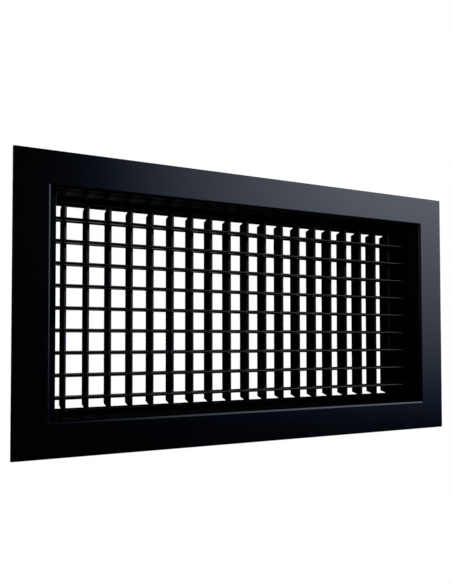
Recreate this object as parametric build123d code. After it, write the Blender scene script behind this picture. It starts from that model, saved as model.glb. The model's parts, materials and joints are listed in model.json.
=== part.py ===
from build123d import *
import math
import os

# Double-deflection louvred air grille, black powder-coated aluminium, for a 400 x 200 mm duct opening.
#
# X runs along the long side, Y runs into the wall and Z is up. The origin is the centre of the seating
# plane, which is the plane of the flange's rear rim. Everything is in millimetres.

# Opening that the neck slips into, and how the frame relates to it
DUCT_WIDTH = 400.0
DUCT_HEIGHT = 200.0
NECK_CLEARANCE = 3.0
FLANGE_OVERLAP = 26.0

# Frame profile: flange, rounded inner edge, neck, rim lip and key slot
WALL = 1.5
BEND_RADIUS = 3.0
EDGE_RADIUS = 0.6
FLANGE_DEPTH = 6.0
NECK_PAST_RAIL = 2.5
RIM_LIP = 1.2
SLOT_OFFSET = 16.0
SLOT_WIDTH = 8.0
SLOT_RIB = 1.0
SLOT_OVERHANG = 1.2

# Corner keys that slide in the slots
KEY_THICKNESS = 2.0
KEY_LEG = 34.0
KEY_CLEARANCE = 0.1
KEY_END_RADIUS = 1.0

# Foam strip behind the flange
GASKET_WIDTH = 6.0
GASKET_GAP = 0.8
GASKET_CORNER = 2.0
GASKET_JOINT = 0.4

# Lipped channels that carry the blades; those on the long walls start behind the front row, with a front
# that slopes back so that it turns the air past the rail
SIDE_RAIL_LEAD = 3.6
LONG_RAIL_LEAD = 5.7
LONG_RAIL_SLOPE = 4.9
RAIL_HEIGHT = 4.9
RAIL_WALL = 1.2
RAIL_LIP = 7.5
LONG_RAIL_FRONT_LIP = 5.2
RAIL_END_GAP = 0.1

# Blades: a front row with slim noses and tails and a rear row with blunt ones, each turning on pins
# behind its nose. A nose is half an ellipse, whose length is given along the chord.
FRONT_PITCH = 19.06
FRONT_ROW_SHIFT = -2.55
FRONT_CHORD = 15.0
FRONT_THICKNESS = 3.51
FRONT_NOSE = 5.0
FRONT_TAIL = 2.0
REAR_PITCH = 20.0
REAR_CHORD = 16.5
REAR_THICKNESS = 3.8
REAR_NOSE = 1.9
REAR_TAIL = 3.3
NOSE_START = 15.1
ROW_GAP = 0.9
PIVOT_SETBACK = 3.5
BLADE_END_GAP = 0.5
TAPER_CHORD = 12.5
TAPER_LENGTH = 2.8

# Steel pivot pins and their nylon bushings
PIN_RADIUS = 1.0
PIN_GRIP = 10.0
PIN_SHORTFALL = 0.3
PIN_CHAMFER = 0.25
RUNNING_CLEARANCE = 0.05
BUSHING_RADIUS = 2.4
BUSHING_PROUD = 0.2
BUSHING_COLLAR = 1.0
BUSHING_COLLAR_RADIUS = 3.6
BUSHING_LENGTH = 3.0
SEAT_CLEARANCE = 0.05

# Blind rivets, and the leaf springs on the neck
RIVET_RADIUS = 1.6
RIVET_HEAD_RADIUS = 3.1
RIVET_HEAD_HEIGHT = 1.1
RIVET_BULB_RADIUS = 2.3
RIVET_BULB_LENGTH = 1.6
RIVET_INSET = 4.7
CLIP_INSET = 65.5
CLIP_THICKNESS = 0.6
CLIP_WIDTH = 24.0
CLIP_RIVET_SPACING = 12.0
CLIP_FOOT = 11.0
CLIP_FOOT_PAST = 6.2
CLIP_RISE = 6.0
CLIP_REACH = 27.0
CLIP_CREST = 16.0
CLIP_TIP_RISE = 1.4
CLIP_BEND_RADIUS = 5.0

# What follows from them: the rows of blades set the rails, and the rails set the neck
THROAT_X = DUCT_WIDTH / 2 - NECK_CLEARANCE - WALL
THROAT_Z = DUCT_HEIGHT / 2 - NECK_CLEARANCE - WALL
BAND = WALL + NECK_CLEARANCE + FLANGE_OVERLAP
RAIL_INNER_X = THROAT_X - RAIL_HEIGHT
RAIL_INNER_Z = THROAT_Z - RAIL_HEIGHT
FRONT_AXIS = NOSE_START + PIVOT_SETBACK
REAR_START = NOSE_START + FRONT_CHORD + ROW_GAP
REAR_AXIS = REAR_START + PIVOT_SETBACK
SIDE_RAIL_START = NOSE_START - SIDE_RAIL_LEAD
LONG_RAIL_START = REAR_START - LONG_RAIL_LEAD
RAIL_END = REAR_START + REAR_CHORD
NECK_DEPTH = RAIL_END + NECK_PAST_RAIL
FRONT_HALF_LENGTH = RAIL_INNER_X - BLADE_END_GAP
REAR_HALF_LENGTH = RAIL_INNER_Z - BLADE_END_GAP
FRONT_BLADES = int(2 * RAIL_INNER_Z / FRONT_PITCH)
REAR_BLADES = int(2 * RAIL_INNER_X / REAR_PITCH)
FRONT_ROW = [FRONT_ROW_SHIFT + ((FRONT_BLADES - 1) / 2 - i) * FRONT_PITCH for i in range(FRONT_BLADES)]
REAR_ROW = [(i - (REAR_BLADES - 1) / 2) * REAR_PITCH for i in range(REAR_BLADES)]
FRONT_RIVET_LINE = SIDE_RAIL_START + RIVET_INSET
REAR_RIVET_LINE = RAIL_END - RIVET_INSET
SIDE_RIVETS = [(FRONT_ROW[1] + FRONT_ROW[2]) / 2, (FRONT_ROW[-3] + FRONT_ROW[-2]) / 2]
CLIP_X = THROAT_X - CLIP_INSET
CLIP_RIVETS = [x + side * CLIP_RIVET_SPACING / 2 for x in (-CLIP_X, CLIP_X) for side in (-1, 1)]
LONG_RIVETS = [-CLIP_X / 2, 0.0, CLIP_X / 2]


def y_at(depth):
    """World Y of a depth measured from the flange's front face."""
    return depth - FLANGE_DEPTH


# The frame and the rails are drawn as the right-hand side, with u outwards from the throat along X and
# their length along Z, then set in place: as they are, turned onto the top, or mirrored across.


def on_right(shape):
    return Pos(THROAT_X, 0, 0) * shape


def on_left(shape):
    return mirror(on_right(shape), about=Plane.YZ)


def on_top(shape):
    return Pos(0, 0, THROAT_Z) * Rot(0, -90, 0) * shape


def on_bottom(shape):
    return mirror(on_top(shape), about=Plane.XY)


def section_face(points, radii):
    """Closed section in (u, depth), with a corner radius for each point."""
    outline = FilletPolyline(*points, radius=radii, close=True)
    return Pos(0, y_at(0), 0) * make_face(outline)


def block(u0, u1, depth0, depth1):
    """Rectangular piece of a section in (u, depth)."""
    corners = [(u0, depth0), (u1, depth0), (u1, depth1), (u0, depth1)]
    return section_face(corners, [0, 0, 0, 0])


def cross_hole(radius, depth, along):
    """Round hole along u, through everything on that line of a frame side or rail."""
    return Pos(0, y_at(depth), along) * Rot(0, 90, 0) * Cylinder(radius, 4 * RAIL_HEIGHT)


# Frame


def flange_back():
    """Plane of the flange's rear face, on which the keys and the foam lie; its normal is -Y."""
    return Plane.XZ.offset(-y_at(WALL))


def key_slot():
    """Two hooked ribs on the back of the flange, which hold a corner key."""
    inner = SLOT_OFFSET - SLOT_WIDTH / 2
    outer = SLOT_OFFSET + SLOT_WIDTH / 2
    hook = WALL + KEY_THICKNESS + KEY_CLEARANCE
    top = hook + SLOT_RIB
    section = block(inner - SLOT_RIB, inner, WALL, top)
    section += block(inner - SLOT_RIB, inner + SLOT_OVERHANG, hook, top)
    section += block(outer, outer + SLOT_RIB, WALL, top)
    section += block(outer - SLOT_OVERHANG, outer + SLOT_RIB, hook, top)
    return section


def frame_section():
    points = [
        (0, 0),
        (BAND, 0),
        (BAND, FLANGE_DEPTH),
        (BAND - RIM_LIP, FLANGE_DEPTH),
        (BAND - RIM_LIP, WALL),
        (WALL, WALL),
        (WALL, NECK_DEPTH),
        (0, NECK_DEPTH),
    ]
    radii = [BEND_RADIUS, EDGE_RADIUS, 0, 0, 0, BEND_RADIUS - WALL, 0, 0]
    return section_face(points, radii) + key_slot()


def frame_side(half_throat, holes):
    """One mitred side of the frame, with (depth, position along it) of each rivet hole."""
    half_outer = half_throat + BAND
    bar = extrude(frame_section(), amount=half_outer, both=True)
    corners = [(0, -half_throat), (BAND, -half_outer), (BAND, half_outer), (0, half_throat)]
    trapezium = Plane.XZ * make_face(Polyline(*corners, close=True))
    side = bar & extrude(trapezium, amount=2 * NECK_DEPTH, both=True)
    for depth, along in holes:
        side -= cross_hole(RIVET_RADIUS + SEAT_CLEARANCE, depth, along)
    return side


def corner_key():
    """L-shaped key of the top right corner, in the slots of the two sides that meet there."""
    half = SLOT_WIDTH / 2 - KEY_CLEARANCE
    corner_x = THROAT_X + SLOT_OFFSET
    corner_z = THROAT_Z + SLOT_OFFSET
    outline = [
        (corner_x + half, corner_z + half),
        (corner_x - KEY_LEG, corner_z + half),
        (corner_x - KEY_LEG, corner_z - half),
        (corner_x - half, corner_z - half),
        (corner_x - half, corner_z - KEY_LEG),
        (corner_x + half, corner_z - KEY_LEG),
    ]
    corner_radii = [0, KEY_END_RADIUS, KEY_END_RADIUS, 0, KEY_END_RADIUS, KEY_END_RADIUS]
    face = make_face(FilletPolyline(*outline, radius=corner_radii, close=True))
    return extrude(flange_back() * face, amount=-KEY_THICKNESS)


def foam_gasket():
    """One strip of foam inside the rim, bent round the corners, its ends meeting at the bottom."""
    outer_x = THROAT_X + BAND - RIM_LIP - GASKET_GAP
    outer_z = THROAT_Z + BAND - RIM_LIP - GASKET_GAP
    thickness = FLANGE_DEPTH - WALL
    outer = RectangleRounded(2 * outer_x, 2 * outer_z, GASKET_CORNER + GASKET_WIDTH)
    inner = RectangleRounded(2 * (outer_x - GASKET_WIDTH), 2 * (outer_z - GASKET_WIDTH), GASKET_CORNER)
    ring = extrude(flange_back() * (outer - inner), amount=-thickness)
    cut = Box(GASKET_JOINT, 2 * thickness, 2 * GASKET_WIDTH)
    return ring - Pos(0, y_at(WALL + thickness / 2), GASKET_WIDTH / 2 - outer_z) * cut


# Rails and bushings


def rail_section(front, front_lip, slope):
    """Channel whose front stands off the wall at that depth, and leans back by slope at its web."""
    web = -RAIL_HEIGHT
    back = RAIL_END
    lean = slope / RAIL_HEIGHT
    inside = front + RAIL_WALL * math.hypot(1, lean)
    points = [
        (0, front),
        (web, front + slope),
        (web, back),
        (0, back),
        (0, back - RAIL_LIP),
        (-RAIL_WALL, back - RAIL_LIP),
        (-RAIL_WALL, back - RAIL_WALL),
        (web + RAIL_WALL, back - RAIL_WALL),
        (web + RAIL_WALL, inside + lean * (RAIL_HEIGHT - RAIL_WALL)),
        (-RAIL_WALL, inside + lean * RAIL_WALL),
        (-RAIL_WALL, front + front_lip),
        (0, front + front_lip),
    ]
    return section_face(points, [0] * len(points))


def rail(section, half_length, axis_depth, row, holes):
    """Lipped channel with a seat for each blade's bushing and a hole for each rivet."""
    channel = extrude(section, amount=half_length, both=True)
    for along in row:
        seat = Rot(0, 90, 0) * Cylinder(BUSHING_RADIUS + SEAT_CLEARANCE, 4 * RAIL_WALL)
        channel -= Pos(-RAIL_HEIGHT, y_at(axis_depth), along) * seat
    for depth, along in holes:
        lip_hole = Rot(0, 90, 0) * Cylinder(RIVET_RADIUS + SEAT_CLEARANCE, 3 * RAIL_WALL)
        channel -= Pos(0, y_at(depth), along) * lip_hole
    return channel


def bushing():
    """Nylon bushing on the Z axis: its nose at the top, its collar against the web's inner face."""
    low = (Align.CENTER, Align.CENTER, Align.MIN)
    body = Cylinder(BUSHING_RADIUS, BUSHING_LENGTH, align=low)
    nose_height = BUSHING_LENGTH - BUSHING_PROUD - RAIL_WALL - BUSHING_COLLAR
    body += Pos(0, 0, nose_height) * Cylinder(BUSHING_COLLAR_RADIUS, BUSHING_COLLAR, align=low)
    return body - Cylinder(PIN_RADIUS + RUNNING_CLEARANCE, 3 * BUSHING_LENGTH)


def bushing_row(axis_depth, row):
    """Bushings of one rail, noses towards the blades."""
    turned = Pos(-RAIL_HEIGHT - BUSHING_PROUD + BUSHING_LENGTH, 0, 0) * Rot(0, -90, 0) * bushing()
    return [Pos(0, y_at(axis_depth), along) * turned for along in row]


# Blades


def flank_slope(nose, half, tail, span):
    """Slope of the line that touches the nose ellipse and the tail circle, whose middles are span apart."""
    square = span**2 - nose**2 + half**2
    linear = tail * span
    constant = half**2 - tail**2
    return math.asin((math.sqrt(linear**2 + square * constant) - linear) / square)


def blade_section(chord, thickness, nose, tail_thickness):
    """Section of a half-elliptical nose and a round tail with flat flanks; pivot axis at the origin."""
    half = thickness / 2
    tail = tail_thickness / 2
    tip = -PIVOT_SETBACK
    nose_y = tip + nose
    tail_y = tip + chord - tail
    slope = flank_slope(nose, half, tail, tail_y - nose_y)
    reach = math.hypot(half * math.cos(slope), nose * math.sin(slope))
    turn = math.degrees(math.acos(nose * math.sin(slope) / reach))
    front = EllipticalCenterArc((0, nose_y), nose, half, turn, arc_size=360 - 2 * turn, rotation=90)
    tail_side = (tail * math.cos(slope), tail_y + tail * math.sin(slope))
    other_side = (-tail_side[0], tail_side[1])
    outline = [
        front,
        Line(front @ 1, tail_side),
        ThreePointArc(tail_side, (0, tip + chord), other_side),
        Line(other_side, front @ 0),
    ]
    return make_face(outline)


def pivot_pin(half_length):
    """Pin of a blade's upper end, pressed into the blade and reaching through the bushing."""
    reach = BLADE_END_GAP - BUSHING_PROUD + BUSHING_LENGTH - PIN_SHORTFALL
    pin = Cylinder(PIN_RADIUS, PIN_GRIP + reach, align=(Align.CENTER, Align.CENTER, Align.MIN))
    pin = chamfer(pin.edges().sort_by(Axis.Z)[-1], PIN_CHAMFER)
    return Pos(0, 0, half_length - PIN_GRIP) * pin


def tail_taper():
    """Slanting cut from behind the pin to the tail corner, at a rear blade's upper end."""
    tail = REAR_CHORD - PIVOT_SETBACK
    past = TAPER_LENGTH
    slope = TAPER_LENGTH / TAPER_CHORD
    corners = [
        (tail - TAPER_CHORD - past, REAR_HALF_LENGTH + past * slope),
        (tail + past, REAR_HALF_LENGTH - TAPER_LENGTH - past * slope),
        (tail + past, REAR_HALF_LENGTH + past),
        (tail - TAPER_CHORD - past, REAR_HALF_LENGTH + past),
    ]
    wedge = Plane.YZ * make_face(Polyline(*corners, close=True))
    return extrude(wedge, amount=REAR_THICKNESS, both=True)


def blade(section, half_length, cuts):
    """Blade along Z on its pivot axis, with its two pins; each cut is made at both ends."""
    body = extrude(section, amount=half_length, both=True)
    pin = pivot_pin(half_length)
    bore = Pos(0, 0, half_length) * Cylinder(PIN_RADIUS, 2 * PIN_GRIP)
    for cut in [bore] + cuts:
        body -= cut
        body -= mirror(cut, about=Plane.XY)
    return [body, pin, mirror(pin, about=Plane.XY)]


# Rivets and leaf springs


def rivet(grip):
    """Blind rivet on the Z axis, with the underside of its head at the origin and its bulb below."""
    dome_radius = (RIVET_HEAD_RADIUS**2 + RIVET_HEAD_HEIGHT**2) / (2 * RIVET_HEAD_HEIGHT)
    bulb_middle = -grip - RIVET_BULB_LENGTH / 2
    bulb_end = -grip - RIVET_BULB_LENGTH
    below_head = [
        (RIVET_HEAD_RADIUS, 0),
        (RIVET_RADIUS, 0),
        (RIVET_RADIUS, -grip),
        (RIVET_BULB_RADIUS, -grip),
        (RIVET_BULB_RADIUS, bulb_middle),
        (RIVET_RADIUS, bulb_end),
        (0, bulb_end),
        (0, RIVET_HEAD_HEIGHT),
    ]
    dome = RadiusArc((0, RIVET_HEAD_HEIGHT), (RIVET_HEAD_RADIUS, 0), -dome_radius)
    return revolve(Plane.XZ * make_face([dome, Polyline(*below_head)]), axis=Axis.Z)


def rivets(grip, holes):
    """Rivets in a frame side, their bulbs behind the rail's lip."""
    turned = Pos(grip - RAIL_WALL, 0, 0) * Rot(0, 90, 0) * rivet(grip)
    return [Pos(0, y_at(depth), along) * turned for depth, along in holes]


def spring_clip(centre):
    """Leaf spring riveted by its foot to the neck, bowed outwards past the opening's edge."""
    middle = WALL + CLIP_THICKNESS / 2
    foot_back = REAR_RIVET_LINE + CLIP_FOOT_PAST
    foot_front = foot_back - CLIP_FOOT
    crest = foot_front - CLIP_CREST
    tip = foot_front - CLIP_REACH
    path = FilletPolyline(
        (middle, foot_back),
        (middle, foot_front),
        (middle + CLIP_RISE, crest),
        (middle + CLIP_TIP_RISE, tip),
        radius=CLIP_BEND_RADIUS,
    )
    strip = Pos(0, y_at(0), 0) * trace(path, CLIP_THICKNESS)
    leaf = extrude(strip, amount=CLIP_WIDTH / 2, both=True)
    for side in (-1, 1):
        leaf -= cross_hole(RIVET_RADIUS + SEAT_CLEARANCE, REAR_RIVET_LINE, side * CLIP_RIVET_SPACING / 2)
    return Pos(0, 0, centre) * leaf


# Assembly


def save(name, pieces):
    """Write one node's solids to its STEP file."""
    solids = [solid for piece in pieces for solid in piece.solids()]
    export_step(Compound(children=solids), f"parts/{name}.step")


def main():
    os.makedirs("parts", exist_ok=True)

    side_holes = [(line, z) for line in (FRONT_RIVET_LINE, REAR_RIVET_LINE) for z in SIDE_RIVETS]
    long_holes = [(REAR_RIVET_LINE, x) for x in LONG_RIVETS]
    clip_holes = [(REAR_RIVET_LINE, x) for x in CLIP_RIVETS]

    upright = frame_side(THROAT_Z, side_holes)
    long_side = frame_side(THROAT_X, long_holes + clip_holes)
    save("frame_right", [on_right(upright)])
    save("frame_left", [on_left(upright)])
    save("frame_top", [on_top(long_side)])
    save("frame_bottom", [on_bottom(long_side)])

    key = corner_key()
    save("corner_key_top_right", [key])
    save("corner_key_top_left", [mirror(key, about=Plane.YZ)])
    save("corner_key_bottom_right", [mirror(key, about=Plane.XY)])
    save("corner_key_bottom_left", [mirror(mirror(key, about=Plane.XY), about=Plane.YZ)])
    save("foam_gasket", [foam_gasket()])

    side_section = rail_section(SIDE_RAIL_START, RAIL_LIP, 0)
    side_rail = rail(side_section, THROAT_Z - RAIL_END_GAP, FRONT_AXIS, FRONT_ROW, side_holes)
    long_section = rail_section(LONG_RAIL_START, LONG_RAIL_FRONT_LIP, LONG_RAIL_SLOPE)
    long_rail = rail(long_section, RAIL_INNER_X - RAIL_END_GAP, REAR_AXIS, REAR_ROW, long_holes + clip_holes)
    save("blade_rail_right", [on_right(side_rail)])
    save("blade_rail_left", [on_left(side_rail)])
    save("blade_rail_top", [on_top(long_rail)])
    save("blade_rail_bottom", [on_bottom(long_rail)])

    side_bushings = bushing_row(FRONT_AXIS, FRONT_ROW)
    long_bushings = bushing_row(REAR_AXIS, REAR_ROW)
    save("bushings_right", [on_right(b) for b in side_bushings])
    save("bushings_left", [on_left(b) for b in side_bushings])
    save("bushings_top", [on_top(b) for b in long_bushings])
    save("bushings_bottom", [on_bottom(b) for b in long_bushings])

    front_section = blade_section(FRONT_CHORD, FRONT_THICKNESS, FRONT_NOSE, FRONT_TAIL)
    front = blade(front_section, FRONT_HALF_LENGTH, [])
    for number, z in enumerate(FRONT_ROW, start=1):
        place = Pos(0, y_at(FRONT_AXIS), z) * Rot(0, 90, 0)
        save(f"front_blade_{number}", [place * piece for piece in front])
    rear_section = blade_section(REAR_CHORD, REAR_THICKNESS, REAR_NOSE, REAR_TAIL)
    rear = blade(rear_section, REAR_HALF_LENGTH, [tail_taper()])
    for number, x in enumerate(REAR_ROW, start=1):
        place = Pos(x, y_at(REAR_AXIS), 0)
        save(f"rear_blade_{number:02d}", [place * piece for piece in rear])

    side_rivets = rivets(WALL + RAIL_WALL, side_holes)
    long_rivets = rivets(WALL + RAIL_WALL, long_holes)
    rail_rivets = [place(r) for place in (on_right, on_left) for r in side_rivets]
    rail_rivets += [place(r) for place in (on_top, on_bottom) for r in long_rivets]
    save("rail_rivets", rail_rivets)
    clip_rivets = rivets(WALL + RAIL_WALL + CLIP_THICKNESS, clip_holes)
    save("clip_rivets", [place(r) for place in (on_top, on_bottom) for r in clip_rivets])

    for name, x in (("left", CLIP_X), ("right", -CLIP_X)):
        save(f"spring_clip_top_{name}", [on_top(spring_clip(x))])
        save(f"spring_clip_bottom_{name}", [on_bottom(spring_clip(x))])


main()
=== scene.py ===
import json
import math

import bmesh
import bpy
from bpy.props import FloatProperty, FloatVectorProperty, PointerProperty
from mathutils import Matrix, Vector


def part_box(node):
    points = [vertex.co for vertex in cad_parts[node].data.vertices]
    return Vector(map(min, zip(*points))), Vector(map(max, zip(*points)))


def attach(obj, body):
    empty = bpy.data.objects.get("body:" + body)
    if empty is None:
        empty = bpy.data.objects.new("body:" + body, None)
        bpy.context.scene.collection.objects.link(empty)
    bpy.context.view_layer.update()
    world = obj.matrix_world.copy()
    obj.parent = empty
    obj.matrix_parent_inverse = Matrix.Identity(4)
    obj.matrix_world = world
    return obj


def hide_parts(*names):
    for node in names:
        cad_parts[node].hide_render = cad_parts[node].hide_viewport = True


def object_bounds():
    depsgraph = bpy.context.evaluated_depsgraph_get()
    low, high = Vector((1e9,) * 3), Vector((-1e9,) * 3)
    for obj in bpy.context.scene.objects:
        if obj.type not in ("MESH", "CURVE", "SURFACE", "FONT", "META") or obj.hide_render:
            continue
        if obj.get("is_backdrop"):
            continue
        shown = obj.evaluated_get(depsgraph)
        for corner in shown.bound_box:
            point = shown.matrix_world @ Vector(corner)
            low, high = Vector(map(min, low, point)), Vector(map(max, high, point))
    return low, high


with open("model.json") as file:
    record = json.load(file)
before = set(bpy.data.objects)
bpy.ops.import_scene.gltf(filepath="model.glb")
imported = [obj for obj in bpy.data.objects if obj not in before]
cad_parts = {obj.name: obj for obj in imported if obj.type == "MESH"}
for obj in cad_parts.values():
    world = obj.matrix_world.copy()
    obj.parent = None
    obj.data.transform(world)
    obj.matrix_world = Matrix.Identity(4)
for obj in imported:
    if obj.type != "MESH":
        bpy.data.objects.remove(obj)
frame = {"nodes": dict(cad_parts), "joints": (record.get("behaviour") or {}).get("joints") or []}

bl_info = {
    "name": "Louvred air grille",
    "version": (1, 0, 0),
    "blender": (4, 5, 0),
    "location": "3D View > Sidebar > Grille",
    "description": "Dresses the packed air grille: coated frame and rails, blades, rivets, seal and stage",
    "category": "Object",
}

# One millimetre in metres
MM = 0.001

# What counts as one point, as flat, as a corner and as sharp, and the number of steps in each curve
MERGE_DISTANCE = 0.002 * MM
FLAT_ANGLE = math.radians(0.4)
CORNER_ANGLE = math.radians(28)
SHARP_ANGLE = math.radians(35)
EDGE_SEGMENTS = 2
ROUND_SEGMENTS = 48
PIN_SEGMENTS = 24
RIVET_SEGMENTS = 32
DOME_STEPS = 6

# Between these values lies nearly all of a noise
NOISE_LOW = 0.3
NOISE_HIGH = 0.7

# How far large faces outweigh the rounded edges beside them in the shading, from 1 to 100; 50 is neutral
FLAT_WEIGHT = 100

# How far the floor reaches each way, and how near to the camera things are seen, in metres
FLOOR_REACH = 8
NEAREST_SEEN = 0.01

FRAME_SIDES = ("frame_top", "frame_bottom", "frame_left", "frame_right")
RAILS = ("blade_rail_left", "blade_rail_right", "blade_rail_top", "blade_rail_bottom")
BUSHINGS = ("bushings_left", "bushings_right", "bushings_top", "bushings_bottom")
KEYS = sorted(node for node in frame["nodes"] if node.startswith("corner_key"))
CLIPS = sorted(node for node in frame["nodes"] if node.startswith("spring_clip"))
FRONT_BLADES = sorted(node for node in frame["nodes"] if node.startswith("front_blade"))
REAR_BLADES = sorted(node for node in frame["nodes"] if node.startswith("rear_blade"))
PIVOTS = {joint["child"]: Vector(joint["pos_m"]) for joint in frame["joints"]}

# What |x| - |z| is on the frame's mitres, and the throat's walls, on which the rails stand
MITRE_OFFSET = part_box("frame_right")[1].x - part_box("frame_top")[1].z
THROAT_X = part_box("blade_rail_right")[1].x
THROAT_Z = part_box("blade_rail_top")[1].z

# Soft lights on the studio's dome, in degrees: to the right of straight out of the wall, and upwards. Each
# begins, is full, starts to fade and ends. The light behind the wall is the same on the left and the right,
# and above and below. The softbox's edges are cool: each channel starts at that share of its white light.
SOFTBOX_ACROSS = (12.0, 38.5, 54.0, 71.0)
SOFTBOX_UP = (-7.3, 15.0, 30.0, 64.0)
SOFTBOX_START = {"Red": 0.08, "Green": 0.045, "Blue": 0.0}
FILL_ACROSS = (-110.0, -85.0, -20.0, 0.0)
FILL_UP = (-2.0, 9.0, 40.0, 65.0)
FILL_DOWN = (-80.0, -60.0, -35.0, -16.0)
BACK_ACROSS = (78.0, 105.0, 180.0, 200.0)
BACK_UP = (25.0, 40.0, 60.0, 80.0)


def length(name, description, millimetres):
    """Length property, with its default given in millimetres."""
    return FloatProperty(name=name, description=description, default=millimetres * MM, unit="LENGTH")


def angle(name, description, degrees):
    """Angle property, with its default given in degrees."""
    return FloatProperty(name=name, description=description, default=math.radians(degrees), subtype="ANGLE")


def linear(hex_colour):
    """Linear RGBA of an sRGB hex colour."""
    levels = [int(hex_colour[i : i + 2], 16) / 255 for i in (1, 3, 5)]
    return tuple(c / 12.92 if c <= 0.04045 else ((c + 0.055) / 1.055) ** 2.4 for c in levels) + (1.0,)


def colour(name, description, hex_colour):
    """Colour property, with its default given as an sRGB hex value."""
    return FloatVectorProperty(
        name=name, description=description, default=linear(hex_colour), subtype="COLOR", size=4, min=0, max=1
    )


class GrilleEdges(bpy.types.PropertyGroup):
    coated_edge: length("Coated edge", "Radius that the powder coat leaves on a sawn or extruded edge", 0.16)
    key_edge: length("Key edge", "Rounding of the corner keys' edges", 0.2)
    clip_edge: length("Spring edge", "Rounding of the leaf springs' slit edges", 0.08)
    seal_edge: length("Seal edge", "Rounding of the foam strip's cut edges", 0.5)


class GrilleBlades(bpy.types.PropertyGroup):
    front_nose: length("Front nose", "Length of a front blade's half-elliptical nose", 5.0)
    front_tail: length("Front tail", "Thickness of a front blade's tail edge", 2.0)
    rear_nose: length("Rear nose", "Length of a rear blade's round nose", 1.9)
    rear_tail: length("Rear tail", "Thickness of a rear blade's tail edge", 3.3)
    pin_radius: length("Pin radius", "Radius of the pivot pins", 1.0)
    pin_reach: length("Pin reach", "How far a pin stands out of its blade", 3.0)
    pin_grip: length("Pin grip", "How far a pin is pressed into its blade", 10.0)
    pin_chamfer: length("Pin chamfer", "Chamfer on a pin's end", 0.25)
    taper_chord: length("Taper chord", "Part of a rear blade's chord along which its ends slant", 12.5)
    taper_length: length("Taper length", "How much shorter a rear blade is at its tail, at each end", 2.8)


class GrilleRivets(bpy.types.PropertyGroup):
    head_radius: length("Head radius", "Radius of a blind rivet's dome head", 3.1)
    head_height: length("Head height", "Height of the dome head", 1.1)
    shank_radius: length("Shank radius", "Radius of the rivet's shank", 1.6)
    bulb_radius: length("Bulb radius", "Radius of the bulb that the mandrel draws up behind the sheets", 2.3)
    bulb_length: length("Bulb length", "Length of that bulb", 1.6)
    mandrel_radius: length("Mandrel radius", "Radius of the broken mandrel in the head's bore", 0.9)
    mandrel_depth: length("Mandrel depth", "How far the mandrel's break lies below the head's crown", 0.5)


class GrilleFinishes(bpy.types.PropertyGroup):
    coat: colour("Powder coat", "Colour of the polyester powder coat", "#030304")
    coat_peel: length("Orange peel", "Distance between the waves of the cured coat", 2.2)
    aluminium: colour("Aluminium", "Colour of the bare aluminium", "#C9CBCE")
    steel: colour("Spring steel", "Colour of the tempered spring strip", "#8A8C90")
    nylon: colour("Nylon", "Colour of the moulded bushings", "#121214")
    foam: colour("Foam", "Colour of the closed-cell foam", "#1B1C1E")


class GrilleStage(bpy.types.PropertyGroup):
    camera_place: FloatVectorProperty(
        name="Camera place",
        description="Where the camera stands",
        default=(-0.2729, -0.50306, -0.03088),
        unit="LENGTH",
    )
    camera_turn: angle("Camera turn", "How far the camera looks to the right of the wall's normal", 25.202)
    camera_tilt: angle("Camera tilt", "How far the camera looks up", 1.6347)
    camera_roll: angle("Camera roll", "Roll of the camera about its line of sight", 0.0788)
    lens: FloatProperty(name="Lens", description="Focal length for a 36 mm frame", default=36.64)
    camera_rise: FloatProperty(name="Rise", description="Lens rise over frame size", default=0.0551)
    floor_drop: length("Floor drop", "How far the floor lies below the grille", 260)
    floor: colour("Floor", "Colour of the pale floor", "#F4F4F4")
    softbox: colour("Softbox", "Colour of the main softbox", "#E2EBFF")
    softbox_radiance: FloatProperty(name="Softbox radiance", description="At its middle", default=2.95)
    fill_radiance: FloatProperty(name="Fill radiance", description="Of the light on the left", default=0.22)
    back_radiance: FloatProperty(name="Back radiance", description="Of the light behind", default=0.8)


# Materials. Distances in the patterns are real ones: a texture's scale is one over its feature size.


def add_node(tree, kind, inputs, **settings):
    """Adds a node with its settings; inputs gives each socket a value or the output that feeds it."""
    node = tree.nodes.new(kind)
    for name, value in settings.items():
        setattr(node, name, value)
    for socket, value in inputs.items():
        if isinstance(value, bpy.types.NodeSocket):
            tree.links.new(value, node.inputs[socket])
        else:
            node.inputs[socket].default_value = value
    return node


def new_material(name):
    """Empty node material, its tree, and the object coordinates that its patterns read."""
    material = bpy.data.materials.new(name)
    material.use_nodes = True
    tree = material.node_tree
    tree.nodes.clear()
    place = add_node(tree, "ShaderNodeTexCoord", {}).outputs["Object"]
    return material, tree, place


def noise(tree, place, feature, detail):
    """Output of a noise whose blotches are about one feature size across."""
    settings = {"Vector": place, "Scale": 1 / feature, "Detail": detail}
    return add_node(tree, "ShaderNodeTexNoise", settings).outputs["Fac"]


def between(tree, factor, low, high):
    """Value that runs from low to high as the factor runs over the middle of a noise."""
    settings = {"Value": factor, "From Min": NOISE_LOW, "From Max": NOISE_HIGH, "To Min": low, "To Max": high}
    return add_node(tree, "ShaderNodeMapRange", settings).outputs["Result"]


def shade(tree, factor, dark, light):
    """Colour between a dark and a light one."""
    return add_node(tree, "ShaderNodeMix", {0: factor, 6: dark, 7: light}, data_type="RGBA").outputs[2]


def relief(tree, height, depth, under=None):
    """Normal of a surface whose height varies by that depth, over the relief under it."""
    settings = {"Height": height, "Strength": 1.0, "Distance": depth}
    if under is not None:
        settings["Normal"] = under
    return add_node(tree, "ShaderNodeBump", settings).outputs["Normal"]


def stretched(tree, place, scale):
    """Coordinates drawn out along one or two axes, for rolled and drawn metal."""
    return add_node(tree, "ShaderNodeMapping", {"Vector": place, "Scale": scale}).outputs["Vector"]


def set_surface(tree, **sockets):
    """Principled surface from its sockets' values and outputs, with words joined by underscores."""
    settings = {name.replace("_", " "): value for name, value in sockets.items()}
    shader = add_node(tree, "ShaderNodeBsdfPrincipled", settings)
    add_node(tree, "ShaderNodeOutputMaterial", {"Surface": shader.outputs[0]})


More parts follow.
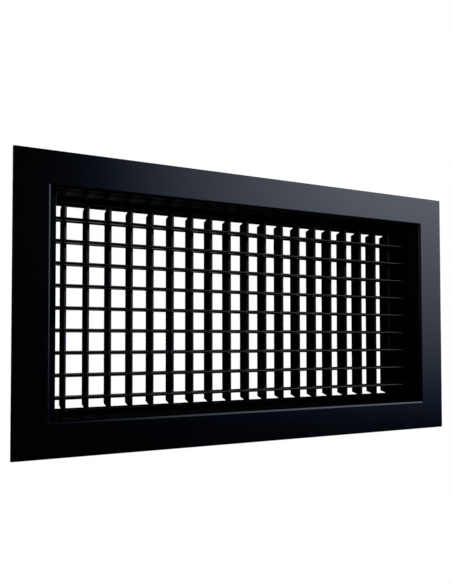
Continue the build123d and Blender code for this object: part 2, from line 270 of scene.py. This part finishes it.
def lighter(base, factor):
    """A linear colour made lighter, or darker where the factor is below one."""
    return tuple(factor * level for level in base[:3]) + (1.0,)


def powder_coat(finishes):
    """Polyester powder coat, cured semi-gloss on extruded aluminium. The melt levels into faint orange
    peel, which breaks up the edges of reflections, and the film is a little duller where it is thicker.
    The base colour is darker than a real black coat's, to suit the stage's lights."""
    material, tree, place = new_material("black_powder_coat")
    film = noise(tree, place, 35 * MM, 2.0)
    pigment = noise(tree, place, 0.3 * MM, 2.0)
    peel = noise(tree, place, finishes.coat_peel, 1.0)
    grain = relief(tree, pigment, 0.0006 * MM)
    set_surface(
        tree,
        Base_Color=shade(tree, pigment, finishes.coat, lighter(finishes.coat, 1.6)),
        Roughness=between(tree, film, 0.15, 0.18),
        Normal=relief(tree, peel, 0.006 * MM, grain),
    )
    return material


def mill_aluminium(finishes):
    """Bare extruded and sawn aluminium. Die lines run along it and stretch the highlights across."""
    material, tree, place = new_material("mill_aluminium")
    lines = noise(tree, stretched(tree, place, (0.08, 1.0, 1.0)), 0.25 * MM, 3.0)
    handling = noise(tree, place, 9 * MM, 3.0)
    set_surface(
        tree,
        Base_Color=shade(tree, handling, lighter(finishes.aluminium, 0.8), finishes.aluminium),
        Metallic=1.0,
        Roughness=between(tree, handling, 0.28, 0.42),
        Normal=relief(tree, lines, 0.004 * MM),
    )
    return material


def spring_steel(finishes):
    """Hardened and tempered strip steel. Rolling leaves fine lines along the leaf, and the oil film on
    it makes the grey uneven."""
    material, tree, place = new_material("spring_steel")
    rolled = noise(tree, stretched(tree, place, (1.0, 0.06, 0.06)), 0.2 * MM, 2.0)
    oil = noise(tree, place, 6 * MM, 4.0)
    set_surface(
        tree,
        Base_Color=shade(tree, oil, lighter(finishes.steel, 0.7), finishes.steel),
        Metallic=1.0,
        Roughness=between(tree, oil, 0.24, 0.4),
        Normal=relief(tree, rolled, 0.003 * MM),
    )
    return material


def turned_steel(finishes):
    """Drawn steel wire, cut and tumbled, as pivot pins and rivet mandrels are. Bright, with soft edges."""
    material, tree, place = new_material("turned_steel")
    tumbled = noise(tree, place, 0.4 * MM, 2.0)
    set_surface(
        tree,
        Base_Color=shade(tree, tumbled, lighter(finishes.steel, 0.9), lighter(finishes.steel, 1.2)),
        Metallic=1.0,
        Roughness=between(tree, tumbled, 0.22, 0.34),
        Normal=relief(tree, tumbled, 0.002 * MM),
    )
    return material


def moulded_nylon(finishes):
    """Injection-moulded black nylon. The spark-eroded mould leaves a fine even grain that dulls it."""
    material, tree, place = new_material("black_nylon")
    spark = noise(tree, place, 0.15 * MM, 2.0)
    flow = noise(tree, place, 4 * MM, 1.0)
    set_surface(
        tree,
        Base_Color=shade(tree, flow, finishes.nylon, lighter(finishes.nylon, 1.3)),
        Roughness=between(tree, spark, 0.45, 0.6),
        Normal=relief(tree, spark, 0.01 * MM),
    )
    return material


def closed_cell_foam(finishes):
    """Slit closed-cell foam. The knife opens its cells into small pits, drawn as large as the coarsest ones
    so that they show and darkened with painted shade, and what is left between them is dull and a little
    dusty."""
    material, tree, place = new_material("closed_cell_foam")
    settings = {"Vector": place, "Scale": 1 / (0.7 * MM)}
    cell_pits_and_painted_shade = add_node(tree, "ShaderNodeTexVoronoi", settings).outputs["Distance"]
    dust = noise(tree, place, 5 * MM, 3.0)
    skin = shade(tree, dust, finishes.foam, lighter(finishes.foam, 1.7))
    set_surface(
        tree,
        # Painted shade: the pits are coloured at half the foam's colour, and the same pattern gives their
        # real relief below
        Base_Color=shade(tree, cell_pits_and_painted_shade, lighter(finishes.foam, 0.5), skin),
        Roughness=0.92,
        Normal=relief(tree, cell_pits_and_painted_shade, 0.12 * MM),
    )
    return material


FINISHES = {
    "black_powder_coat": powder_coat,
    "mill_aluminium": mill_aluminium,
    "spring_steel": spring_steel,
    "turned_steel": turned_steel,
    "black_nylon": moulded_nylon,
    "closed_cell_foam": closed_cell_foam,
}


def finish_named(context, name):
    """The material of that name, made when it is first asked for."""
    made = bpy.data.materials.get(name + "_finish")
    if made is None:
        made = FINISHES[name](context.scene.grille_finishes)
        made.name = name + "_finish"
    return made


# Meshes


def place_piece(bm, name, materials, body, nodes):
    """Makes an object of a finished mesh, on the body it rides, in place of those CAD nodes."""
    mesh = bpy.data.meshes.new(name)
    bm.to_mesh(mesh)
    bm.free()
    for face in mesh.polygons:
        face.use_smooth = True
    mesh.set_sharp_from_angle(angle=SHARP_ANGLE)
    for material in materials:
        mesh.materials.append(material)
    piece = bpy.data.objects.new(name, mesh)
    bpy.context.scene.collection.objects.link(piece)
    flat = piece.modifiers.new("Flat faces", "WEIGHTED_NORMAL")
    flat.keep_sharp = True
    flat.weight = FLAT_WEIGHT
    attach(piece, body)
    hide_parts(*nodes)
    return piece


def in_joint(vert):
    """The planes between two coated parts that a point lies in: frame sides at a mitre, or rail on wall."""
    x, z = abs(vert.co.x), abs(vert.co.z)
    gaps = {"mitre": x - z - MITRE_OFFSET, "side wall": x - THROAT_X, "long wall": z - THROAT_Z}
    return {plane for plane, gap in gaps.items() if abs(gap) < MERGE_DISTANCE}


def round_edges(bm, radius):
    """Rounds every corner edge of a closed mesh, except where it lies in a joint that the coat bridges."""
    corners = [
        edge
        for edge in bm.edges
        if edge.calc_face_angle(0) > CORNER_ANGLE and not in_joint(edge.verts[0]) & in_joint(edge.verts[1])
    ]
    bmesh.ops.bevel(
        bm,
        geom=corners,
        offset=radius,
        offset_type="OFFSET",
        segments=EDGE_SEGMENTS,
        profile=0.5,
        affect="EDGES",
        material=-1,
        clamp_overlap=False,
    )


def merged_copy(node):
    """Closed mesh of a CAD node, with its flat faces whole."""
    bm = bmesh.new()
    mesh = frame["nodes"][node].data.copy()
    mesh.attributes.remove(mesh.attributes["custom_normal"])
    mesh.materials.clear()
    bm.from_mesh(mesh)
    bpy.data.meshes.remove(mesh)
    bmesh.ops.remove_doubles(bm, verts=bm.verts, dist=MERGE_DISTANCE)
    for face in bm.faces:
        face.material_index = 0
    bmesh.ops.dissolve_limit(bm, angle_limit=FLAT_ANGLE, verts=bm.verts, edges=bm.edges)
    return bm


def keep_inside(bm, node):
    """Draws back what the rounding pushed past the node's own box."""
    low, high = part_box(node)
    for vert in bm.verts:
        vert.co = [min(max(level, low[i]), high[i]) for i, level in enumerate(vert.co)]


def dress_node(context, node, radius, finish, suffix):
    """Stands a round-edged copy in a node's place, with that finish."""
    bm = merged_copy(node)
    round_edges(bm, radius)
    keep_inside(bm, node)
    material = finish_named(context, finish)
    return place_piece(bm, f"{node}_{suffix}", [material], "frame", [node])


def blade_turn(node):
    """Places a blade that is drawn along Z, with its pivot at the origin, on its own pivot."""
    turn = Matrix.Identity(4)
    if node in FRONT_BLADES:
        turn = Matrix.Rotation(math.radians(90), 4, "Y")
    return Matrix.Translation(PIVOTS[node]) @ turn


def blade_sizes(node):
    """Chord start and end from the pivot, thickness and half length over the pins."""
    low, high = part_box(node)
    pivot = PIVOTS[node]
    size = high - low
    if node in FRONT_BLADES:
        return low.y - pivot.y, high.y - pivot.y, size.z, size.x / 2
    return low.y - pivot.y, high.y - pivot.y, size.x, size.z / 2


def upright_rod(bm, thickness, chord, half_length, y):
    """Rod along Z with an elliptical section, as thick and as deep along the chord as given."""
    bmesh.ops.create_cone(
        bm,
        cap_ends=True,
        segments=ROUND_SEGMENTS,
        radius1=0.5,
        radius2=0.5,
        depth=2 * half_length,
        matrix=Matrix.Translation((0, y, 0)) @ Matrix.Diagonal((thickness, chord, 1, 1)),
    )


def cut_end(bm, point, normal):
    """Takes off what lies beyond a plane, and closes the cut."""
    geometry = bm.verts[:] + bm.edges[:] + bm.faces[:]
    cut = bmesh.ops.bisect_plane(bm, geom=geometry, plane_co=point, plane_no=normal, clear_outer=True)
    rim = [item for item in cut["geom_cut"] if isinstance(item, bmesh.types.BMEdge)]
    bmesh.ops.edgeloop_fill(bm, edges=rim)


def blade_body(node, nose, tail, half_length, taper_chord, taper_length):
    """Blade along Z on its pivot: the hull of a nose rod and a tail rod, its ends cut aslant at the tail."""
    start, end, thickness, _ = blade_sizes(node)
    bm = bmesh.new()
    upright_rod(bm, thickness, 2 * nose, half_length, start + nose)
    upright_rod(bm, tail, tail, half_length, end - tail / 2)
    bmesh.ops.delete(bm, geom=bm.edges[:] + bm.faces[:], context="EDGES_FACES")
    hull = bmesh.ops.convex_hull(bm, input=bm.verts)
    inside = [item for item in hull["geom_interior"] if isinstance(item, bmesh.types.BMVert)]
    bmesh.ops.delete(bm, geom=inside, context="VERTS")
    bmesh.ops.dissolve_limit(bm, angle_limit=FLAT_ANGLE, verts=bm.verts, edges=bm.edges)
    if taper_length > 0:
        for side in (-1, 1):
            corner = Vector((0, end, side * (half_length - taper_length)))
            cut_end(bm, corner, Vector((0, taper_length, side * taper_chord)).normalized())
    return bm


def blade_pins(blades, half_length):
    """Both pivot pins of a blade along Z, chamfered at their free ends."""
    bm = bmesh.new()
    depth = blades.pin_grip + blades.pin_reach
    for side in (-1, 1):
        middle = Vector((0, 0, side * (half_length - blades.pin_grip + depth / 2)))
        bmesh.ops.create_cone(
            bm,
            cap_ends=True,
            segments=PIN_SEGMENTS,
            radius1=blades.pin_radius,
            radius2=blades.pin_radius,
            depth=depth,
            matrix=Matrix.Translation(middle),
        )
    tip = half_length + blades.pin_reach - MERGE_DISTANCE
    rims = [edge for edge in bm.edges if all(abs(vert.co.z) > tip for vert in edge.verts)]
    cut = blades.pin_chamfer
    bmesh.ops.bevel(bm, geom=rims, offset=cut, segments=1, profile=0.5, affect="EDGES", material=-1)
    return bm


def add_blade(context, node, nose, tail, taper_chord, taper_length):
    """One blade and its pins, riding on the blade's own body."""
    scene = context.scene
    blades = scene.grille_blades
    half_length = blade_sizes(node)[3] - blades.pin_reach
    turn = blade_turn(node)
    body = blade_body(node, nose, tail, half_length, taper_chord, taper_length)
    round_edges(body, scene.grille_edges.coated_edge)
    body.transform(turn)
    coat = finish_named(context, "black_powder_coat")
    place_piece(body, f"{node}_coated", [coat], node, [node])
    pins = blade_pins(blades, half_length)
    pins.transform(turn)
    steel = finish_named(context, "turned_steel")
    place_piece(pins, f"{node}_pins", [steel], node, [node])


def loose_boxes(node):
    """Lowest and highest corner of each separate solid of a CAD node, in the same order each run."""
    bm = merged_copy(node)
    left = set(bm.verts)
    boxes = []
    while left:
        found = {left.pop()}
        newest = set(found)
        while newest:
            nearby = {edge.other_vert(vert) for vert in newest for edge in vert.link_edges}
            newest = nearby & left
            found |= newest
            left -= newest
        points = [vert.co for vert in found]
        low = Vector([min(point[i] for point in points) for i in range(3)])
        high = Vector([max(point[i] for point in points) for i in range(3)])
        boxes.append((low, high))
    bm.free()
    return sorted(boxes, key=lambda box: tuple(box[0]))


def rivet_profile(rivets, grip):
    """Half section of a set blind rivet, from the mandrel's break down to the bulb's end."""
    dome = (rivets.head_radius**2 + rivets.head_height**2) / (2 * rivets.head_height)
    rim_angle = math.asin(rivets.head_radius / dome)
    bore_angle = math.asin(rivets.mandrel_radius / dome)
    break_height = rivets.head_height - rivets.mandrel_depth
    bulb_start = -grip
    bulb_middle = bulb_start - rivets.bulb_length / 2
    bulb_end = bulb_start - rivets.bulb_length
    points = [(0, break_height), (rivets.mandrel_radius, break_height)]
    for step in range(DOME_STEPS + 1):
        at = bore_angle + (rim_angle - bore_angle) * step / DOME_STEPS
        points.append((dome * math.sin(at), rivets.head_height - dome * (1 - math.cos(at))))
    points += [(rivets.shank_radius, 0), (rivets.shank_radius, bulb_start)]
    points += [(rivets.bulb_radius, bulb_start), (rivets.bulb_radius, bulb_middle)]
    points += [(rivets.shank_radius, bulb_end), (0, bulb_end)]
    return points


def order_faces(bm):
    """Sorts the faces by their three lowest corners, because a spin leaves them in no fixed order."""
    bm.verts.index_update()
    count = len(bm.verts)
    corners = {face: sorted(vert.index for vert in face.verts) for face in bm.faces}
    bm.faces.sort(key=lambda face: (corners[face][0] * count + corners[face][1]) * count + corners[face][2])


def rivet_mesh(rivets, grip):
    """Set blind rivet on Z, the underside of its head at the origin; the mandrel is its second material."""
    bm = bmesh.new()
    verts = [bm.verts.new((x, 0, z)) for x, z in rivet_profile(rivets, grip)]
    edges = [bm.edges.new(pair) for pair in zip(verts, verts[1:])]
    bmesh.ops.spin(
        bm,
        geom=verts + edges,
        cent=(0, 0, 0),
        axis=(0, 0, 1),
        angle=math.tau,
        steps=RIVET_SEGMENTS,
        use_merge=True,
    )
    bmesh.ops.remove_doubles(bm, verts=bm.verts, dist=MERGE_DISTANCE)
    bmesh.ops.recalc_face_normals(bm, faces=bm.faces)
    order_faces(bm)
    break_height = rivets.head_height - rivets.mandrel_depth
    for face in bm.faces:
        middle = face.calc_center_median()
        on_break = abs(middle.z - break_height) < MERGE_DISTANCE and middle.xy.length < rivets.mandrel_radius
        face.material_index = 1 if on_break else 0
    return bm


def add_rivets(context, node):
    """The set rivets of one node, heads outwards on the neck."""
    rivets = context.scene.grille_rivets
    rail_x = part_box("blade_rail_right")[0].x
    joined = bpy.data.meshes.new(node + "_all")
    bm = bmesh.new()
    for low, high in loose_boxes(node):
        middle = (low + high) / 2
        outwards = Vector((0, 0, math.copysign(1, middle.z)))
        if abs(middle.x) > rail_x:
            outwards = Vector((math.copysign(1, middle.x), 0, 0))
        total = (high - low).dot(Vector(map(abs, outwards)))
        one = rivet_mesh(rivets, total - rivets.head_height - rivets.bulb_length)
        under_head = middle + outwards * (total / 2 - rivets.head_height)
        one.transform(Matrix.Translation(under_head) @ outwards.to_track_quat("Z", "Y").to_matrix().to_4x4())
        one.to_mesh(joined)
        one.free()
        bm.from_mesh(joined)
    bpy.data.meshes.remove(joined)
    materials = [finish_named(context, "mill_aluminium"), finish_named(context, "turned_steel")]
    place_piece(bm, node + "_set", materials, "frame", [node])


# Operators, one for each piece or group of like pieces


class GRILLE_OT_frame(bpy.types.Operator):
    """Stand the four coated frame sides in place, their edges rounded by the coat"""

    bl_idname = "grille.frame"
    bl_label = "Frame sides"

    def execute(self, context):
        for node in FRAME_SIDES:
            dress_node(context, node, context.scene.grille_edges.coated_edge, "black_powder_coat", "coated")
        return {"FINISHED"}


class GRILLE_OT_rails(bpy.types.Operator):
    """Stand the four coated blade rails in place"""

    bl_idname = "grille.rails"
    bl_label = "Blade rails"

    def execute(self, context):
        for node in RAILS:
            dress_node(context, node, context.scene.grille_edges.coated_edge, "black_powder_coat", "coated")
        return {"FINISHED"}


class GRILLE_OT_front_blades(bpy.types.Operator):
    """Model the horizontal front blades, slim at nose and tail and square at the ends, with their pins"""

    bl_idname = "grille.front_blades"
    bl_label = "Front blades"

    def execute(self, context):
        blades = context.scene.grille_blades
        for node in FRONT_BLADES:
            add_blade(context, node, blades.front_nose, blades.front_tail, 0, 0)
        return {"FINISHED"}


class GRILLE_OT_rear_blades(bpy.types.Operator):
    """Model the vertical rear blades, blunt at the tail and slanted at the ends, with their pins"""

    bl_idname = "grille.rear_blades"
    bl_label = "Rear blades"

    def execute(self, context):
        blades = context.scene.grille_blades
        for node in REAR_BLADES:
            sizes = (blades.rear_nose, blades.rear_tail, blades.taper_chord, blades.taper_length)
            add_blade(context, node, *sizes)
        return {"FINISHED"}


class GRILLE_OT_bushings(bpy.types.Operator):
    """Give the nylon bushings their moulded finish"""

    bl_idname = "grille.bushings"
    bl_label = "Bushings"

    def execute(self, context):
        nylon = finish_named(context, "black_nylon")
        for node in BUSHINGS:
            for slot in frame["nodes"][node].material_slots:
                slot.material = nylon
        return {"FINISHED"}


class GRILLE_OT_rivets(bpy.types.Operator):
    """Model the blind rivets, each with its broken mandrel in the head"""

    bl_idname = "grille.rivets"
    bl_label = "Blind rivets"

    def execute(self, context):
        add_rivets(context, "rail_rivets")
        add_rivets(context, "clip_rivets")
        return {"FINISHED"}


class GRILLE_OT_keys(bpy.types.Operator):
    """Stand the four corner keys in their slots, bare aluminium with eased edges"""

    bl_idname = "grille.keys"
    bl_label = "Corner keys"

    def execute(self, context):
        for node in KEYS:
            dress_node(context, node, context.scene.grille_edges.key_edge, "mill_aluminium", "sawn")
        return {"FINISHED"}


class GRILLE_OT_seal(bpy.types.Operator):
    """Lay the foam strip behind the flange, its cut edges a little rounded"""

    bl_idname = "grille.seal"
    bl_label = "Foam seal"

    def execute(self, context):
        dress_node(context, "foam_gasket", context.scene.grille_edges.seal_edge, "closed_cell_foam", "strip")
        return {"FINISHED"}


class GRILLE_OT_clips(bpy.types.Operator):
    """Stand the four leaf springs on the neck"""

    bl_idname = "grille.clips"
    bl_label = "Leaf springs"

    def execute(self, context):
        for node in CLIPS:
            dress_node(context, node, context.scene.grille_edges.clip_edge, "spring_steel", "leaf")
        return {"FINISHED"}


# Stage


def seen_or_not(tree, seen, unseen):
    """Shader that is one thing to the camera and another to everything else."""
    camera = add_node(tree, "ShaderNodeLightPath", {}).outputs["Is Camera Ray"]
    return add_node(tree, "ShaderNodeMixShader", {0: camera, 1: unseen.outputs[0], 2: seen.outputs[0]})


def floor_material(stage):
    """Matt pale floor, lit evenly to the same white as the room behind it."""
    material, tree, _ = new_material("pale_floor")
    lit = add_node(tree, "ShaderNodeEmission", {"Color": (1, 1, 1, 1), "Strength": 1.0})
    matt = add_node(tree, "ShaderNodeBsdfDiffuse", {"Color": stage.floor})
    both = seen_or_not(tree, lit, matt)
    add_node(tree, "ShaderNodeOutputMaterial", {"Surface": both.outputs[0]})
    return material


def add_floor(stage):
    """Pale floor below the grille, left out of its reflections."""
    low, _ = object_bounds()
    bm = bmesh.new()
    level = Matrix.Translation((0, 0, low[2] - stage.floor_drop))
    bmesh.ops.create_grid(bm, x_segments=1, y_segments=1, size=FLOOR_REACH, matrix=level)
    mesh = bpy.data.meshes.new("floor")
    bm.to_mesh(mesh)
    bm.free()
    mesh.materials.append(floor_material(stage))
    floor = bpy.data.objects.new("floor", mesh)
    bpy.context.scene.collection.objects.link(floor)
    floor.visible_glossy = False
    floor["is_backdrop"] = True


def light_patch(tree, turn, rise, reach_across, reach_up):
    """Patch of light with soft edges on the studio's dome. Each reach gives four angles in degrees: where
    the patch begins, where it is full, where it starts to fade and where it ends."""
    share = 1.0
    for direction, (begins, full, fades, ends) in ((turn, reach_across), (rise, reach_up)):
        for dark, bright in ((begins, full), (ends, fades)):
            edge = {"Value": direction, "From Min": math.radians(dark), "From Max": math.radians(bright)}
            soft = add_node(tree, "ShaderNodeMapRange", edge).outputs["Result"]
            both = {0: share, 1: soft}
            share = add_node(tree, "ShaderNodeMath", both, operation="MULTIPLY").outputs[0]
    return share


def add_world(stage):
    """Even white room to the camera. To everything else it is a dark studio with a large softbox in front
    on the right, whose edges cool as they fade, dim fill light on the left, and light behind the wall."""
    world = bpy.data.worlds.new("studio")
    bpy.context.scene.world = world
    world.use_nodes = True
    tree = world.node_tree
    tree.nodes.clear()
    direction = add_node(tree, "ShaderNodeTexCoord", {}).outputs["Generated"]
    way = add_node(tree, "ShaderNodeSeparateXYZ", {"Vector": direction}).outputs
    outwards = add_node(tree, "ShaderNodeMath", {0: way["Y"], 1: -1.0}, operation="MULTIPLY").outputs[0]
    turn = add_node(tree, "ShaderNodeMath", {0: way["X"], 1: outwards}, operation="ARCTAN2").outputs[0]
    rise = add_node(tree, "ShaderNodeMath", {0: way["Z"]}, operation="ARCSINE").outputs[0]

    softbox = light_patch(tree, turn, rise, SOFTBOX_ACROSS, SOFTBOX_UP)
    channels = {}
    for channel, start in SOFTBOX_START.items():
        faded = add_node(tree, "ShaderNodeMapRange", {"Value": softbox, "From Min": start})
        channels[channel] = faded.outputs["Result"]
    cooled = add_node(tree, "ShaderNodeCombineColor", channels).outputs[0]
    tinted = {0: 1.0, 6: cooled, 7: stage.softbox}
    glow = add_node(tree, "ShaderNodeMix", tinted, data_type="RGBA", blend_type="MULTIPLY").outputs[2]
    key = add_node(tree, "ShaderNodeBackground", {"Color": glow, "Strength": stage.softbox_radiance})

    aside = add_node(tree, "ShaderNodeMath", {0: turn}, operation="ABSOLUTE").outputs[0]
    off_level = add_node(tree, "ShaderNodeMath", {0: rise}, operation="ABSOLUTE").outputs[0]
    dim_lights = (
        (stage.fill_radiance, turn, rise, FILL_ACROSS, FILL_UP),
        (stage.fill_radiance, turn, rise, FILL_ACROSS, FILL_DOWN),
        (stage.back_radiance, aside, off_level, BACK_ACROSS, BACK_UP),
    )
    studio = key
    for radiance, *patch in dim_lights:
        share = light_patch(tree, *patch)
        level = add_node(tree, "ShaderNodeMath", {0: share, 1: radiance}, operation="MULTIPLY").outputs[0]
        dim = add_node(tree, "ShaderNodeBackground", {"Color": (1, 1, 1, 1), "Strength": level})
        studio = add_node(tree, "ShaderNodeAddShader", {0: studio.outputs[0], 1: dim.outputs[0]})
    white = add_node(tree, "ShaderNodeBackground", {"Color": (1, 1, 1, 1), "Strength": 1.0})
    both = seen_or_not(tree, white, studio)
    add_node(tree, "ShaderNodeOutputWorld", {"Surface": both.outputs[0]})


def add_camera(stage):
    """Camera in front of the grille, to its left, made the scene's own."""
    camera = bpy.data.cameras.new("camera")
    camera.lens = stage.lens
    camera.shift_y = stage.camera_rise
    camera.clip_start = NEAREST_SEEN
    eye = bpy.data.objects.new("camera", camera)
    bpy.context.scene.collection.objects.link(eye)
    turn = Matrix.Rotation(-stage.camera_turn, 4, "Z")
    tilt = Matrix.Rotation(math.radians(90) + stage.camera_tilt, 4, "X")
    roll = Matrix.Rotation(-stage.camera_roll, 4, "Z")
    eye.matrix_world = Matrix.Translation(stage.camera_place) @ turn @ tilt @ roll
    bpy.context.scene.camera = eye


class GRILLE_OT_stage(bpy.types.Operator):
    """Set the pale floor, the soft lights and the camera"""

    bl_idname = "grille.stage"
    bl_label = "Stage"

    def execute(self, context):
        stage = context.scene.grille_stage
        add_floor(stage)
        add_world(stage)
        add_camera(stage)
        context.scene.view_settings.view_transform = "Standard"
        return {"FINISHED"}


PROPERTY_GROUPS = {
    "grille_edges": GrilleEdges,
    "grille_blades": GrilleBlades,
    "grille_rivets": GrilleRivets,
    "grille_finishes": GrilleFinishes,
    "grille_stage": GrilleStage,
}
OPERATORS = (
    GRILLE_OT_frame,
    GRILLE_OT_rails,
    GRILLE_OT_front_blades,
    GRILLE_OT_rear_blades,
    GRILLE_OT_bushings,
    GRILLE_OT_rivets,
    GRILLE_OT_keys,
    GRILLE_OT_seal,
    GRILLE_OT_clips,
    GRILLE_OT_stage,
)


class GRILLE_PT_sidebar(bpy.types.Panel):
    """The grille's pieces and sizes in the 3D view's sidebar"""

    bl_label = "Louvred air grille"
    bl_idname = "GRILLE_PT_sidebar"
    bl_space_type = "VIEW_3D"
    bl_region_type = "UI"
    bl_category = "Grille"

    def draw(self, context):
        for operator in OPERATORS:
            self.layout.operator(operator.bl_idname)
        for group, kind in PROPERTY_GROUPS.items():
            box = self.layout.box()
            for name in kind.__annotations__:
                box.prop(getattr(context.scene, group), name)


def register():
    """Registers every class and gives the scene its sizes and colours."""
    for kind in (*PROPERTY_GROUPS.values(), *OPERATORS, GRILLE_PT_sidebar):
        bpy.utils.register_class(kind)
    for name, kind in PROPERTY_GROUPS.items():
        setattr(bpy.types.Scene, name, PointerProperty(type=kind))


def unregister():
    """Takes all of that away again."""
    for name in PROPERTY_GROUPS:
        delattr(bpy.types.Scene, name)
    for kind in reversed((*PROPERTY_GROUPS.values(), *OPERATORS, GRILLE_PT_sidebar)):
        bpy.utils.unregister_class(kind)


def main():
    """Builds the dressed grille and its stage."""
    register()
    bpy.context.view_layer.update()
    bpy.ops.grille.frame()
    bpy.ops.grille.rails()
    bpy.ops.grille.front_blades()
    bpy.ops.grille.rear_blades()
    bpy.ops.grille.bushings()
    bpy.ops.grille.rivets()
    bpy.ops.grille.keys()
    bpy.ops.grille.seal()
    bpy.ops.grille.clips()
    bpy.ops.grille.stage()


if __name__ == "__main__":
    main()
